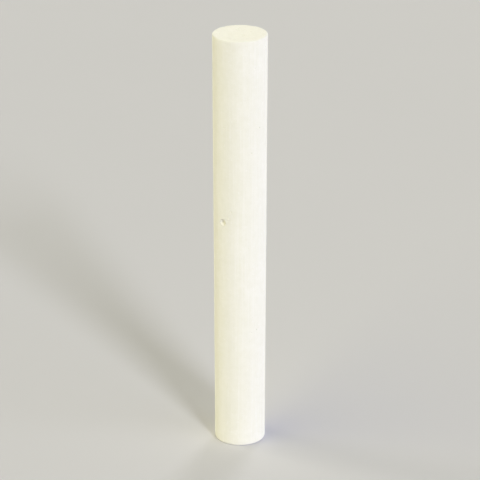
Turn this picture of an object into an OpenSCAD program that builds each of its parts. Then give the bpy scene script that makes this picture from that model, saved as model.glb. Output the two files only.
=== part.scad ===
// Stick of white blackboard chalk, in millimetres.
// It is cast in a slightly tapered mould pocket, so it narrows from the
// end where the pocket was filled to the end that sat at its bottom.
// Origin: centre of the narrow end, on which the stick stands, with +Z up the stick's axis.
// The front of the stick faces -Y.

/* [Stick] */
// Length of the stick
stick_len = 80; // [60:1:120]
// Diameter at the wide end, on top
wide_d = 10; // [8:0.1:14]
// Diameter at the narrow end, at the base
narrow_d = 9.4; // [7:0.1:13]

/* [Ends] */
// Radius on the edge of the wide end, which is struck off flush with the mould and so is crisp
wide_edge_r = 0.25; // [0.1:0.05:1]
// Radius on the edge of the narrow end, from the softer corner of the pocket
narrow_edge_r = 0.5; // [0.1:0.05:1.5]

/* [Air bubble pit] */
// Distance of the pit's centre below the wide end
pit_drop = 35; // [5:1:50]
// Turn of the pit from the front of the stick, clockwise seen from above
pit_turn = 40; // [0:1:90]
// Width of the pit's round mouth
pit_w = 1.3; // [0.4:0.1:2]
// Depth of the pit at its centre
pit_depth = 0.5; // [0.1:0.05:0.6]

/* [Hidden] */
$fn = 128;

chalk_white = [0.96, 0.95, 0.9];

// Radius of the stick's side at height z
function side_r(z) = (narrow_d + (wide_d - narrow_d) * z / stick_len) / 2;

// Radius of the sphere that leaves a mouth of width w and a depth of d in a surface
function pit_sphere_r(w, d) = (w * w / 4 + d * d) / (2 * d);

// Half section of the stick without its pit: X is the distance from the axis, Y the height.
// The polygon cuts both corners off straight, and a circle rounds each of them.
module half_section() {
    low_z = narrow_edge_r;
    high_z = stick_len - wide_edge_r;
    low_centre = [side_r(low_z) - narrow_edge_r, low_z];
    high_centre = [side_r(high_z) - wide_edge_r, high_z];
    polygon([
        [0, 0],
        [low_centre.x, 0],
        [side_r(low_z), low_z],
        [side_r(high_z), high_z],
        [high_centre.x, stick_len],
        [0, stick_len]
    ]);
    translate(low_centre) circle(r = narrow_edge_r);
    translate(high_centre) circle(r = wide_edge_r);
}

// Ball that leaves the pit of a burst air bubble in the side
module bubble() {
    pit_z = stick_len - pit_drop;
    bubble_r = pit_sphere_r(pit_w, pit_depth);
    rotate([0, 0, -pit_turn])
        translate([0, -(side_r(pit_z) + bubble_r - pit_depth), pit_z])
            sphere(r = bubble_r);
}

module chalk_stick() {
    color(chalk_white)
        difference() {
            rotate_extrude() half_section();
            bubble();
        }
}

chalk_stick();
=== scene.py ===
"""Looks of a stick of white blackboard chalk, in Blender 4.5 and in metres.

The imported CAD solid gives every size: the length, the radii of the ends, the edge radii and the
place of the pit. Around it this script makes one fine mesh of the same size, with the relief that
cast chalk has, a chalk material, and a plain pale studio.
"""

import math
import random

import bmesh
import bpy
import numpy as np
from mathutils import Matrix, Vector, noise


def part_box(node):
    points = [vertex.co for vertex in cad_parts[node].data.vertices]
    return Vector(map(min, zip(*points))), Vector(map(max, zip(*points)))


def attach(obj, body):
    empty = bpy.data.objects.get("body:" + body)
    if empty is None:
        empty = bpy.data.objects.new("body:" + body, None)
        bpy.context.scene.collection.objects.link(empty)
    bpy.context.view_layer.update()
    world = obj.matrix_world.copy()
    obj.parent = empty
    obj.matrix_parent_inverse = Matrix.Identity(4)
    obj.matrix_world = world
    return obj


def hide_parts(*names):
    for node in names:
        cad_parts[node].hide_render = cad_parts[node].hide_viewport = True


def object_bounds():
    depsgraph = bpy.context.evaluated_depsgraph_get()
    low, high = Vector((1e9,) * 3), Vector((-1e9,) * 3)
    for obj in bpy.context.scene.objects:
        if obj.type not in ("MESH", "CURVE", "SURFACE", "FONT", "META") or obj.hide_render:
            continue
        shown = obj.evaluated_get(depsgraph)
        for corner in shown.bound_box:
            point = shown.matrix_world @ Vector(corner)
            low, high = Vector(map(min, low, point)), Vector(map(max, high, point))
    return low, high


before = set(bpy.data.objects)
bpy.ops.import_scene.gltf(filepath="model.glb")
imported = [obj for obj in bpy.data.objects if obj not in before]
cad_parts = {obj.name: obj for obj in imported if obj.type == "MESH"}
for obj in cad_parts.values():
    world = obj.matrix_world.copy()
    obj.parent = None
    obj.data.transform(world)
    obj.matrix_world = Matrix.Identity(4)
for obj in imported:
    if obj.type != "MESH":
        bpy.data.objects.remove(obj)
cad_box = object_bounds()

NODE = "chalk_stick"
MM = 0.001

# Reading the CAD solid's mesh
ON_END = 0.001 * MM          # points this near to the height of an end lie on it
ON_SIDE = 0.002 * MM         # points this near to the line of the side lie on it
END_ZONE = 2 * MM            # the line of the side is read farther than this from both ends

# Mesh of the stick
SECTORS = 160        # cells round the stick: a multiple of 8, so that the ends' square grids meet them
SIDE_ROWS = 300      # cells up the straight side
EDGE_ROWS = 8        # cells over each rounded edge
STRUCK_CELL = 0.13 * MM      # cells on the struck end and its edge are split down to this
MARK_CELL = 0.045 * MM       # cells in and round a bowl or a small mark are split down to this
PIT_CELL = 0.03 * MM         # cells in and round the pit are split down to this
SMALL_MARK = 0.3 * MM        # a mark is small when a half size of it is under this
MARK_MARGIN = 0.06 * MM      # how far past a mark's rim the cells are split
SAME_PLACE = 0.0001 * MM     # points nearer to each other than this are one

# Slow relief, as depths below the CAD surface
WAVE_DEPTH = 0.030 * MM      # unevenness of the mould's wall
WAVE_SIZE = 7.0 * MM
RIPPLE_DEPTH = 0.016 * MM    # finer unevenness over the waves
RIPPLE_SIZE = 1.6 * MM
SCRAPE_DEPTH = 0.08 * MM     # lines across the wide end, from the blade that struck it off
SCRAPE_SIZE = 0.42 * MM      # from one line to the next
SCRAPE_STRETCH = 9           # a line is so many times as long as that
CRUMBLE_DEPTH = 0.13 * MM    # crumbling of the crisp edge of the wide end
CRUMBLE_SIZE = 0.5 * MM
CRUMBLE_REACH = 0.45 * MM    # how far from the edge the crumbling fades out

# Rims of marks
RIM_WANDER = 0.12            # the most that a mark's rim wanders, as a share of its half size
RIM_SWELLS = 1.3             # swells of that wander over a mark's half size

# Marks at random places: how many, and the ranges of their half sizes
PINHOLES = 60                        # small air bubbles that broke at the surface
PINHOLE_RADIUS = (0.05 * MM, 0.16 * MM)
PINHOLE_DEPTH = 0.8                  # as a share of the radius
END_PINHOLES = 26                    # bubbles that the blade laid open in the struck end
END_PINHOLE_RADIUS = (0.06 * MM, 0.28 * MM)
END_PINHOLE_DEPTH = 0.7              # as a share of the radius
END_CLEAR = 0.5 * MM                 # no such bubble lies closer to the edge of the flat end
DENTS = 30                           # shallow dents from the mould and from the other sticks
DENT_RADIUS = (0.4 * MM, 1.1 * MM)
DENT_DEPTH = 0.014 * MM
SCRATCHES = 14                       # left along the stick when it was pushed out of its mould
SCRATCH_LENGTH = (0.5 * MM, 2.0 * MM)
SCRATCH_WIDTH = 0.06 * MM
SCRATCH_DEPTH = 0.012 * MM
CRUMBS = 10                          # crumbs of chalk stuck to the surface
CRUMB_RADIUS = (0.05 * MM, 0.11 * MM)
CRUMB_HEIGHT = 0.5                   # as a share of the radius
SIDE_CLEAR = 1 * MM                  # no mark on the side lies closer to an end
PIT_CLEAR = 2.5 * MM                 # no mark at a random place lies closer to the pit

# Camera and studio
CAMERA_ELEVATION = 22.5      # degrees above the horizon
FIELD_OF_VIEW = 10.0         # degrees
FRAME_SHARE = 0.88           # share of the picture's height that the stick fills
FLOOR_RADIUS = 4.0           # metres
NEUTRAL = (0.975, 0.98, 1.0)     # lamp colour that leaves the chalk white beside the warm lamps


# ---------------------------------------------------------------- the CAD stick's own sizes

def ball_through(points):
    """Centre and radius of the ball whose surface the points lie on."""
    middle = points.mean(axis=0)
    away = points - middle
    terms = np.column_stack([2 * away, np.full(len(away), MM)])
    *centre, rest = np.linalg.lstsq(terms, (away ** 2).sum(axis=1), rcond=None)[0]
    return middle + centre, math.sqrt(rest * MM + np.dot(centre, centre))


class Stick:
    """Sizes of the CAD solid, read from its mesh: the side is a cone, and each end has a rounded edge."""

    def __init__(self, node):
        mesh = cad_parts[node].data
        co = np.array([v.co for v in mesh.vertices])
        low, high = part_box(node)
        radius = np.hypot(co[:, 0], co[:, 1])
        height = co[:, 2]
        self.base_z = low.z
        self.top_z = high.z
        self.base_flat_r = radius[height < low.z + ON_END].max()
        self.top_flat_r = radius[height > high.z - ON_END].max()

        off_ends = (height > low.z + END_ZONE) & (height < high.z - END_ZONE)
        side = off_ends
        for _ in range(3):  # each pass leaves out more of the pit, which lies inside the line
            self.slope, self.start_r = np.polyfit(height[side], radius[side], 1)
            side = off_ends & (radius > self.side_r(height) - ON_SIDE)

        centre, ball_r = ball_through(co[off_ends & ~side])
        self.pit_angle = math.atan2(centre[1], centre[0])
        self.pit_z = centre[2]
        deepest = math.hypot(centre[0], centre[1]) - ball_r
        self.pit_depth = self.side_r(self.pit_z) - deepest
        self.pit_radius = math.sqrt(ball_r ** 2 - (ball_r - self.pit_depth) ** 2)

        self.narrow_edge_r = self.side_r(low.z) - self.base_flat_r
        self.wide_edge_r = self.side_r(high.z) - self.top_flat_r

    def side_r(self, z):
        """Radius of the straight side at height z."""
        return self.start_r + self.slope * z

    def rings(self):
        """(radius, height) of each ring of the mesh, from the rim of the base up to the rim of the top."""
        low_z = self.base_z + self.narrow_edge_r
        high_z = self.top_z - self.wide_edge_r
        turns = np.linspace(0, math.pi / 2, EDGE_ROWS + 1)
        low = [(self.base_flat_r + self.narrow_edge_r * math.sin(t), low_z - self.narrow_edge_r * math.cos(t))
               for t in turns]
        high = [(self.top_flat_r + self.wide_edge_r * math.cos(t), high_z + self.wide_edge_r * math.sin(t))
                for t in turns]
        side = [(self.side_r(z), z) for z in np.linspace(low_z, high_z, SIDE_ROWS + 1)]
        return low[:-1] + side + high[1:]

    def normals(self, co):
        """Outward normals of the undamaged stick at points on or near its surface."""
        radius = np.hypot(co[:, 0], co[:, 1])
        out = co[:, :2] / np.maximum(radius, 1e-9)[:, None]
        low_z = self.base_z + self.narrow_edge_r
        high_z = self.top_z - self.wide_edge_r
        # Across and up parts of the normal; on a rounded edge they point away from its centre
        across = np.ones(len(co))
        up = np.full(len(co), -self.slope)
        low = co[:, 2] < low_z
        across[low] = np.maximum(radius[low] - self.base_flat_r, 0)
        up[low] = co[low, 2] - low_z
        high = co[:, 2] > high_z
        across[high] = np.maximum(radius[high] - self.top_flat_r, 0)
        up[high] = co[high, 2] - high_z
        length = np.hypot(across, up)
        return np.column_stack([out * (across / length)[:, None], up / length])


# ---------------------------------------------------------------- marks in the surface

class Mark:
    """A mark of elliptical outline in the surface. With a depth below 0 it stands out of it."""

    def __init__(self, centre, along, out, size, depth, bowl):
        self.centre = np.array(centre)
        self.along = np.array(along)            # unit vector up the mark
        self.across = np.cross(along, out)      # unit vector across it
        self.size = np.array(size)              # half its width and half its height
        self.depth = depth
        self.bowl = bowl                        # a bowl has a sharp rim, any other mark fades out

    def rim_share(self, co, margin=0.0):
        """How far each point is from the middle, as a share of the way to the rim plus a margin."""
        away = co - self.centre
        width, height = self.size + margin
        share = np.hypot(away @ self.across / width, away @ self.along / height)
        share[np.linalg.norm(away, axis=1) > 2 * max(width, height)] = np.inf
        return share

    def relief(self, co):
        """Depth of the mark at each point."""
        share = self.rim_share(co)
        shift = Vector(self.centre / MM)
        for i in np.flatnonzero(share < 1.5):  # these can come inside the rim when it wanders
            share[i] *= 1 + RIM_WANDER * noise.noise(Vector(co[i]) * RIM_SWELLS / max(self.size) + shift)
        share = np.minimum(share, 1)
        if not self.bowl:
            return self.depth * (1 - share ** 2) ** 2
        # With the rim's radius as 1: the bowl's depth, and the radius of the ball that it is cut from
        steep = self.depth / max(self.size)
        ball = (1 + steep ** 2) / (2 * steep)
        return self.depth * (np.sqrt(ball ** 2 - share ** 2) - (ball - steep)) / steep


def side_mark(stick, angle, z, width, height, depth, bowl=False):
    """A mark on the side, from half its width round the stick and half its height."""
    out = Vector((math.cos(angle), math.sin(angle), 0))
    centre = out * stick.side_r(z) + Vector((0, 0, z))
    return Mark(centre, (0, 0, 1), out, (width, height), depth, bowl)


def end_mark(stick, angle, distance, radius, depth):
    """A round bowl in the struck end."""
    centre = (distance * math.cos(angle), distance * math.sin(angle), stick.top_z)
    return Mark(centre, (0, 1, 0), (0, 0, 1), (radius, radius), depth, True)


def marks_at_pit(stick):
    """The burst bubble's pit, and the few faint marks that lie round it."""
    def near_pit(turn, rise, *shape):
        return side_mark(stick, stick.pit_angle + math.radians(turn), stick.pit_z + rise, *shape)

    pit = near_pit(0, 0, stick.pit_radius, stick.pit_radius, stick.pit_depth, True)
    crumb = near_pit(14, 0.80 * MM, 0.18 * MM, 0.16 * MM, -0.16 * MM)
    upper_dent = near_pit(38, 1.7 * MM, 0.7 * MM, 0.8 * MM, 0.02 * MM)
    lower_dent = near_pit(38, -2.4 * MM, 0.8 * MM, 0.6 * MM, 0.02 * MM)
    scratch = near_pit(-8, -3.1 * MM, 0.08 * MM, 0.9 * MM, 0.02 * MM)
    return [pit, crumb, upper_dent, lower_dent, scratch]


def random_marks(stick):
    """Marks at seeded random places over the side, and pinholes in the struck end."""
    rng = random.Random(7)
    pit = marks_at_pit(stick)[0]

    def add(width, height, depth, bowl=False):
        """Adds a mark to the side, clear of the pit."""
        while True:
            angle = rng.uniform(0, math.tau)
            z = rng.uniform(stick.base_z + SIDE_CLEAR, stick.top_z - SIDE_CLEAR)
            mark = side_mark(stick, angle, z, width, height, depth, bowl)
            if np.linalg.norm(mark.centre - pit.centre) > PIT_CLEAR:
                marks.append(mark)
                return

    def part_way(ends, share):
        """The number that lies that share of the way from the first end to the second."""
        return ends[0] + (ends[1] - ends[0]) * share

    marks = []
    for _ in range(PINHOLES):
        radius = part_way(PINHOLE_RADIUS, rng.random() ** 2)
        add(radius * rng.uniform(0.8, 1.3), radius, PINHOLE_DEPTH * radius, bowl=True)
    for _ in range(DENTS):
        add(rng.uniform(*DENT_RADIUS), rng.uniform(*DENT_RADIUS), DENT_DEPTH * rng.uniform(0.4, 1))
    for _ in range(SCRATCHES):
        add(SCRATCH_WIDTH, rng.uniform(*SCRATCH_LENGTH), SCRATCH_DEPTH * rng.uniform(0.5, 1))
    for _ in range(CRUMBS):
        radius = rng.uniform(*CRUMB_RADIUS)
        add(radius, radius, -CRUMB_HEIGHT * radius)
    for _ in range(END_PINHOLES):
        radius = part_way(END_PINHOLE_RADIUS, rng.random() ** 3)
        distance = (stick.top_flat_r - END_CLEAR) * math.sqrt(rng.random())
        angle = rng.uniform(0, math.tau)
        marks.append(end_mark(stick, angle, distance, radius, END_PINHOLE_DEPTH * radius))
    return marks


# ---------------------------------------------------------------- the mesh

def disc_point(a, b):
    """Maps a point of the square from -1 to 1 to the unit disc, with even cells."""
    if abs(a) > abs(b):
        turn = math.pi / 4 * b / a
        return a * math.cos(turn), a * math.sin(turn)
    if b == 0:
        return 0.0, 0.0
    turn = math.pi / 2 - math.pi / 4 * a / b
    return b * math.cos(turn), b * math.sin(turn)


class MeshParts:
    """Points, faces and map places of the stick's mesh while it is made."""

    # Map: the side's two halves stand next to each other, and the two ends lie above them.
    SIDE_WIDTH = 0.485
    SIDE_HEIGHT = 0.76
    END_SIZE = 0.2
    GAP = 0.01

    def __init__(self):
        self.points = []
        self.faces = []
        self.uv = []

    def add_side(self, rings):
        """Quads between the rings. The map is split at half height."""
        lengths = [0.0]
        for a, b in zip(rings, rings[1:]):
            lengths.append(lengths[-1] + math.dist(a, b))
        for radius, z in rings:
            for k in range(SECTORS):
                turn = math.tau * k / SECTORS
                self.points.append((radius * math.cos(turn), radius * math.sin(turn), z))
        half = len(rings) // 2
        for i in range(len(rings) - 1):
            first, last = (0, half) if i < half else (half, len(rings) - 1)
            left = self.GAP / 2 + 0.5 * (i >= half)
            span = lengths[last] - lengths[first]
            for k in range(SECTORS):
                quad = [(i, k), (i, k + 1), (i + 1, k + 1), (i + 1, k)]
                self.faces.append([ring * SECTORS + sector % SECTORS for ring, sector in quad])
                self.uv += [(left + self.SIDE_WIDTH * sector / SECTORS,
                             self.GAP / 2 + self.SIDE_HEIGHT * (lengths[ring] - lengths[first]) / span)
                            for ring, sector in quad]

    def add_end(self, ring, radius, z, upwards):
        """A flat end on the points of a ring, as an even grid bent to a disc."""
        cells = SECTORS // 4
        index = {}
        for i in range(cells + 1):
            for j in range(cells + 1):
                x, y = disc_point(2 * i / cells - 1, 2 * j / cells - 1)
                if i in (0, cells) or j in (0, cells):
                    sector = round(math.atan2(y, x) / math.tau * SECTORS) % SECTORS
                    index[i, j] = ring * SECTORS + sector
                else:
                    index[i, j] = len(self.points)
                    self.points.append((radius * x, radius * y, z))
        middle = (self.GAP + self.END_SIZE / 2 + 0.5 * upwards,
                  1 - self.GAP - self.END_SIZE / 2)
        for i in range(cells):
            for j in range(cells):
                quad = [(i, j), (i + 1, j), (i + 1, j + 1), (i, j + 1)]
                if not upwards:
                    quad.reverse()
                self.faces.append([index[q] for q in quad])
                for q in quad:
                    x, y = disc_point(2 * q[0] / cells - 1, 2 * q[1] / cells - 1)
                    self.uv.append((middle[0] + x * self.END_SIZE / 2,
                                    middle[1] + y * self.END_SIZE / 2))

    def mesh(self, name):
        """A mesh of all that was added, with its map."""
        mesh = bpy.data.meshes.new(name)
        mesh.from_pydata(self.points, [], self.faces)
        layer = mesh.uv_layers.new(name="OFBake")
        layer.uv.foreach_set("vector", np.array(self.uv, np.float32).ravel())
        return mesh


def split_long_edges(bm, chosen, limit):
    """Splits the edges over that length, of the faces that a test on their centres chooses."""
    while True:
        centres = np.array([f.calc_center_median() for f in bm.faces])
        bm.faces.ensure_lookup_table()
        edges = dict.fromkeys(e for i in np.flatnonzero(chosen(centres)) for e in bm.faces[i].edges
                              if e.calc_length() > limit)
        if not edges:
            return
        bmesh.ops.subdivide_edges(bm, edges=list(edges), cuts=1, use_grid_fill=True)


def refine(mesh, stick, marks):
    """Makes the cells finer on the struck end and its edge, and round each mark that is small or sharp."""
    def on_struck_end(co):
        return co[:, 2] > stick.top_z - stick.wide_edge_r

    def at_mark(mark, co):
        return mark.rim_share(co, MARK_MARGIN + RIM_WANDER * min(mark.size)) < 1

    def at_small_mark(co):
        chosen = np.zeros(len(co), bool)
        for mark in marks:
            if mark.bowl or min(mark.size) < SMALL_MARK:
                chosen |= at_mark(mark, co)
        return chosen

    def at_pit(co):
        return at_mark(marks[0], co)

    bm = bmesh.new()
    bm.from_mesh(mesh)
    split_long_edges(bm, on_struck_end, STRUCK_CELL)
    split_long_edges(bm, at_small_mark, MARK_CELL)
    split_long_edges(bm, at_pit, PIT_CELL)
    bmesh.ops.remove_doubles(bm, verts=bm.verts, dist=SAME_PLACE)
    bmesh.ops.triangulate(bm, faces=bm.faces)
    bm.to_mesh(mesh)
    bm.free()


def noise_at(co, size, seed):
    """Smooth noise from 0 to 1 at each point, with swells of that size."""
    shift = Vector((seed, 2 * seed, 3 * seed))
    return np.array([(noise.noise(Vector(p) / size + shift) + 1) / 2 for p in co]).clip(0, 1)


def add_relief(mesh, stick, marks):
    """Pushes the points in by the depth of the relief, and stores what the material reads."""
    co = np.empty(len(mesh.vertices) * 3, np.float32)
    mesh.vertices.foreach_get("co", co)
    co = co.reshape(-1, 3).astype(float)
    normals = stick.normals(co)

    slow = WAVE_DEPTH * noise_at(co, WAVE_SIZE, seed=3.7)
    slow += RIPPLE_DEPTH * noise_at(co, RIPPLE_SIZE, seed=11.3)
    struck = normals[:, 2].clip(0, 1)
    lines = noise_at(co / (SCRAPE_STRETCH, 1, 1), SCRAPE_SIZE, seed=8.9)
    rim_r = stick.side_r(stick.top_z)
    to_rim = np.hypot(np.hypot(co[:, 0], co[:, 1]) - rim_r, co[:, 2] - stick.top_z)
    near_rim = np.clip(1 - to_rim / CRUMBLE_REACH, 0, 1)
    depth = slow + SCRAPE_DEPTH * struck * lines
    depth += CRUMBLE_DEPTH * near_rim * noise_at(co, CRUMBLE_SIZE, seed=5.1) ** 3
    depth -= depth.min()
    # Painted shade: the share of a bowl's depth at each point, which the material reads to paint the insides
    # of the pit and the pinholes darker and creamier
    painted_bowl_shade = np.zeros(len(co))
    for mark in marks:
        relief = mark.relief(co)
        depth += relief
        if mark.bowl:
            painted_bowl_shade = np.maximum(painted_bowl_shade, relief / mark.depth)

    co -= normals * depth[:, None]
    co[:, 2] = np.clip(co[:, 2], stick.base_z, stick.top_z)
    mesh.vertices.foreach_set("co", co.astype(np.float32).ravel())
    for name, values in (("painted_bowl_shade", painted_bowl_shade), ("worn", near_rim), ("struck", struck)):
        attribute = mesh.attributes.new(name, "FLOAT", "POINT")
        attribute.data.foreach_set("value", values.astype(np.float32))
    mesh.shade_smooth()


# ---------------------------------------------------------------- materials

def new_material(name):
    """A node material, its tree and its shader."""
    material = bpy.data.materials.new(name)
    material.use_nodes = True
    return material, material.node_tree, material.node_tree.nodes["Principled BSDF"]


def add_node(tree, kind, inputs=(), **settings):
    """A node with its settings, and its inputs set to numbers or linked to other nodes' outputs."""
    node = tree.nodes.new("ShaderNode" + kind)
    for key, value in settings.items():
        setattr(node, key, value)
    for key, value in dict(inputs).items():
        if isinstance(value, bpy.types.NodeSocket):
            tree.links.new(value, node.inputs[key])
        else:
            node.inputs[key].default_value = value
    return node


def in_mm(tree, stretch=(1, 1, 1)):
    """Object coordinates in millimetres, each axis times its stretch."""
    place = add_node(tree, "TexCoord").outputs["Object"]
    scale = [s / MM for s in stretch]
    return add_node(tree, "VectorMath", {0: place, 1: scale}, operation="MULTIPLY").outputs[0]


def noise_fac(tree, vector, scale, detail=3.0, roughness=0.5):
    """Noise from 0 to 1, with that many swells to a millimetre where the vector is in millimetres."""
    inputs = {"Vector": vector, "Scale": scale, "Detail": detail, "Roughness": roughness}
    return add_node(tree, "TexNoise", inputs).outputs["Fac"]


def remap(tree, value, low, high, to_low=0.0, to_high=1.0):
    """The value moved from the range low to high to another range, and kept inside it."""
    inputs = {"Value": value, "From Min": low, "From Max": high, "To Min": to_low, "To Max": to_high}
    return add_node(tree, "MapRange", inputs).outputs["Result"]


def math_node(tree, operation, a, b):
    """The result of one sum on two numbers or outputs."""
    return add_node(tree, "Math", {0: a, 1: b}, operation=operation).outputs[0]


def mix_colour(tree, factor, a, b):
    """Colour a where the factor is 0, and b where it is 1."""
    node = add_node(tree, "Mix", data_type="RGBA")
    for key, value in (("Factor_Float", factor), ("A_Color", a), ("B_Color", b)):
        socket = next(s for s in node.inputs if s.identifier == key)
        if isinstance(value, bpy.types.NodeSocket):
            tree.links.new(value, socket)
        else:
            socket.default_value = value
    return next(s for s in node.outputs if s.identifier == "Result_Color")


def srgb(r, g, b):
    """Linear colour from 8-bit sRGB numbers."""
    def linear(c):
        c /= 255
        return c / 12.92 if c <= 0.04045 else ((c + 0.055) / 1.055) ** 2.4
    return linear(r), linear(g), linear(b), 1.0


def chalk_material():
    """Cast chalk: warm white, faintly mottled and streaked, powdery, with open pores, and with painted shade
    that darkens its pores and the insides of its bowls.
    """
    material, tree, shader = new_material("chalk")
    mm = in_mm(tree)
    struck = add_node(tree, "Attribute", attribute_name="struck").outputs["Fac"]
    painted_bowl_shade = add_node(tree, "Attribute", attribute_name="painted_bowl_shade").outputs["Fac"]
    worn = add_node(tree, "Attribute", attribute_name="worn").outputs["Fac"]

    cloud = noise_fac(tree, mm, 0.16)
    mottle = noise_fac(tree, mm, 0.9, 4.0, 0.6)
    streaks = noise_fac(tree, in_mm(tree, (3.0, 3.0, 0.07)), 1.0, 3.0, 0.6)
    grain = noise_fac(tree, mm, 7.0, 3.0, 0.7)
    # Fine pores: dents in the bump below, and specks of painted shade in the colour
    pores_and_shade = remap(tree, noise_fac(tree, mm, 4.2, 1.0), 0.74, 0.80)
    dust = remap(tree, noise_fac(tree, in_mm(tree, (2.3, -2.3, 1.9)), 1.0, 2.0), 0.62, 0.75)

    # Each layer: where it lies, the most that it covers, and its colour
    layers = [
        (remap(tree, mottle, 0.35, 0.65), 0.7, srgb(246, 245, 239)),
        (remap(tree, streaks, 0.5, 0.75), 0.7, srgb(254, 253, 252)),
        (remap(tree, grain, 0.35, 0.7), 0.4, srgb(244, 242, 236)),
        (dust, 0.6, srgb(254, 253, 252)),
        # Painted shade: the fine pores are darker and greyer than the chalk
        (pores_and_shade, 0.5, srgb(233, 229, 217)),
        # Painted shade: the insides of the pit and the pinholes are darker and creamier, most at their
        # bottoms
        (painted_bowl_shade, 0.25, srgb(245, 242, 228)),
        (worn, 0.5, srgb(253, 252, 249)),
    ]
    colour = mix_colour(tree, remap(tree, cloud, 0.35, 0.65), srgb(249, 248, 243), srgb(252, 251, 248))
    for place, cover, layer_colour in layers:
        colour = mix_colour(tree, math_node(tree, "MULTIPLY", place, cover), colour, layer_colour)
    tree.links.new(colour, shader.inputs["Base Color"])

    tree.links.new(remap(tree, grain, 0.3, 0.7, 0.84, 0.97), shader.inputs["Roughness"])
    shader.inputs["Diffuse Roughness"].default_value = 0.7
    shader.inputs["Specular IOR Level"].default_value = 0.25

    # Relief too fine for the mesh: grain with pores, drag lines up the side, scrapes across the struck end
    height = math_node(tree, "SUBTRACT", grain, pores_and_shade)
    fine = add_node(tree, "Bump", {"Strength": 0.8, "Distance": 0.025 * MM, "Height": height})
    drag = noise_fac(tree, in_mm(tree, (4.0, 4.0, 0.05)), 1.0, 2.0)
    scrape = noise_fac(tree, in_mm(tree, (0.3, 4.5, 1.0)), 1.0, 3.0, 0.6)
    lines = remap(tree, struck, 0.0, 1.0, drag, scrape)
    inputs = {"Strength": 0.5, "Distance": 0.035 * MM, "Height": lines, "Normal": fine.outputs["Normal"]}
    tree.links.new(add_node(tree, "Bump", inputs).outputs["Normal"], shader.inputs["Normal"])
    return material


def floor_material():
    """Plain pale grey, with a trace of unevenness."""
    material, tree, shader = new_material("floor")
    cloud = noise_fac(tree, in_mm(tree), 0.01)
    colour = mix_colour(tree, cloud, srgb(221, 221, 230), srgb(224, 224, 233))
    tree.links.new(colour, shader.inputs["Base Color"])
    shader.inputs["Roughness"].default_value = 0.9
    shader.inputs["Specular IOR Level"].default_value = 0.1
    return material


# ---------------------------------------------------------------- studio

def add_object(name, data):
    """An object with that data, in the scene."""
    obj = bpy.data.objects.new(name, data)
    bpy.context.scene.collection.objects.link(obj)
    return obj


def studio_floor(z):
    """A wide round floor at the height that the stick stands on."""
    bm = bmesh.new()
    bmesh.ops.create_circle(bm, cap_ends=True, radius=FLOOR_RADIUS, segments=96)
    bmesh.ops.translate(bm, verts=bm.verts, vec=(0, 0, z))
    mesh = bpy.data.meshes.new("studio_floor")
    bm.to_mesh(mesh)
    bm.free()
    mesh.materials.append(floor_material())
    floor = add_object("studio_floor", mesh)


def aim(obj, target):
    """Turns a camera or lamp to face a place."""
    obj.rotation_euler = (target - obj.location).to_track_quat("-Z", "Y").to_euler()


def around(target, azimuth, elevation, distance):
    """A place round the target. Azimuth 0 is in front, towards -Y, and 90 is to the right, towards +X."""
    a, e = math.radians(azimuth), math.radians(elevation)
    return target + distance * Vector((math.sin(a) * math.cos(e), -math.cos(a) * math.cos(e), math.sin(e)))


def soft_lamp(name, azimuth, elevation, width, share, colour):
    """A far lamp, so many degrees wide. share is how brightly it alone lights white that faces it."""
    light = bpy.data.lights.new(name, "SUN")
    light.angle = math.radians(width)
    light.energy = share * math.pi
    light.color = colour
    lamp = add_object(name, light)
    lamp.location = around(Vector(), azimuth, elevation, 1.0)
    aim(lamp, Vector())


def studio_world(light, backdrop):
    """Even white light from all round, and the colour that the backdrop past the floor shows."""
    world = bpy.data.worlds.new("studio")
    world.use_nodes = True
    tree = world.node_tree
    path = add_node(tree, "LightPath").outputs
    seen = math_node(tree, "MAXIMUM", path["Is Camera Ray"], path["Is Glossy Ray"])
    seen = math_node(tree, "MAXIMUM", seen, path["Is Transmission Ray"])
    colour = mix_colour(tree, seen, (light, light, light, 1.0), backdrop)
    tree.links.new(colour, tree.nodes["Background"].inputs["Color"])
    bpy.context.scene.world = world


def light_studio():
    """The light that the stick stands in: neutral from the right and behind, and warm from the left."""
    soft_lamp("key", azimuth=25, elevation=30, width=12, share=0.42, colour=NEUTRAL)
    soft_lamp("left", azimuth=-65, elevation=40, width=60, share=0.35, colour=(1.0, 0.94, 0.44))
    soft_lamp("right", azimuth=60, elevation=15, width=50, share=0.31, colour=NEUTRAL)
    soft_lamp("left_rim", azimuth=245, elevation=12, width=20, share=0.38, colour=(1.0, 0.95, 0.76))
    soft_lamp("back", azimuth=160, elevation=15, width=20, share=0.36, colour=NEUTRAL)
    studio_world(light=0.14, backdrop=srgb(208, 206, 199))


def add_camera(low, high):
    """Looks down on the stick from the front, as the photograph does, with the whole stick in the picture."""
    target = (low + high) / 2
    tilt = math.radians(CAMERA_ELEVATION)
    half_view = math.radians(FIELD_OF_VIEW / 2)
    seen = (high.z - low.z) * math.cos(tilt) + (high.y - low.y) * math.sin(tilt)
    distance = seen / FRAME_SHARE / 2 / math.tan(half_view)
    data = bpy.data.cameras.new("camera")
    data.angle = 2 * half_view
    data.clip_start = 0.01
    camera = add_object("camera", data)
    camera.location = around(target, 0, CAMERA_ELEVATION, distance)
    aim(camera, target)
    bpy.context.scene.camera = camera


# ---------------------------------------------------------------- the scene

def build_chalk():
    """The stick as one mesh, in place of the CAD node."""
    stick = Stick(NODE)
    parts = MeshParts()
    rings = stick.rings()
    parts.add_side(rings)
    parts.add_end(0, stick.base_flat_r, stick.base_z, upwards=False)
    parts.add_end(len(rings) - 1, stick.top_flat_r, stick.top_z, upwards=True)
    mesh = parts.mesh("chalk")
    marks = marks_at_pit(stick) + random_marks(stick)
    refine(mesh, stick, marks)
    add_relief(mesh, stick, marks)
    mesh.materials.append(chalk_material())
    chalk = add_object("chalk", mesh)
    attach(chalk, "root")
    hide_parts(NODE)


add_camera(*cad_box)
build_chalk()
studio_floor(cad_box[0].z)
light_studio()
bpy.context.scene.view_settings.view_transform = "Standard"
